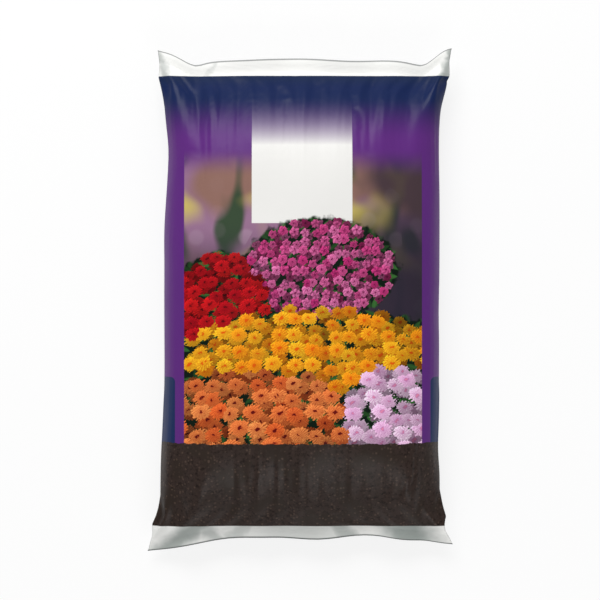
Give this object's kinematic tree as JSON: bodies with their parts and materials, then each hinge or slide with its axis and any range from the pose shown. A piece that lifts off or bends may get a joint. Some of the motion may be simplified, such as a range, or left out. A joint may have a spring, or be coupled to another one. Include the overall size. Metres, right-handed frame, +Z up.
{
  "type": "compost bag",
  "caption": "Filled compost bag lying on its back: a sealed pillow pack of printed plastic film with welded ends and four loose ears.",
  "frame": {"origin": "on the floor, below the middle of the bag's box, in the plane that its flat back rests on", "axes": "+X across the bag, to the right when its printed front is read; +Y along the bag, towards its head; +Z up through its thickness, out of the printed front"},
  "size_m": [0.3824, 0.63, 0.1047],
  "materials": {
    "printed_film": "semi-gloss printed film, white at both ends"
  },
  "bodies": {
    "root": {"compost_bag": "printed_film"}
  },
  "joints": []
}
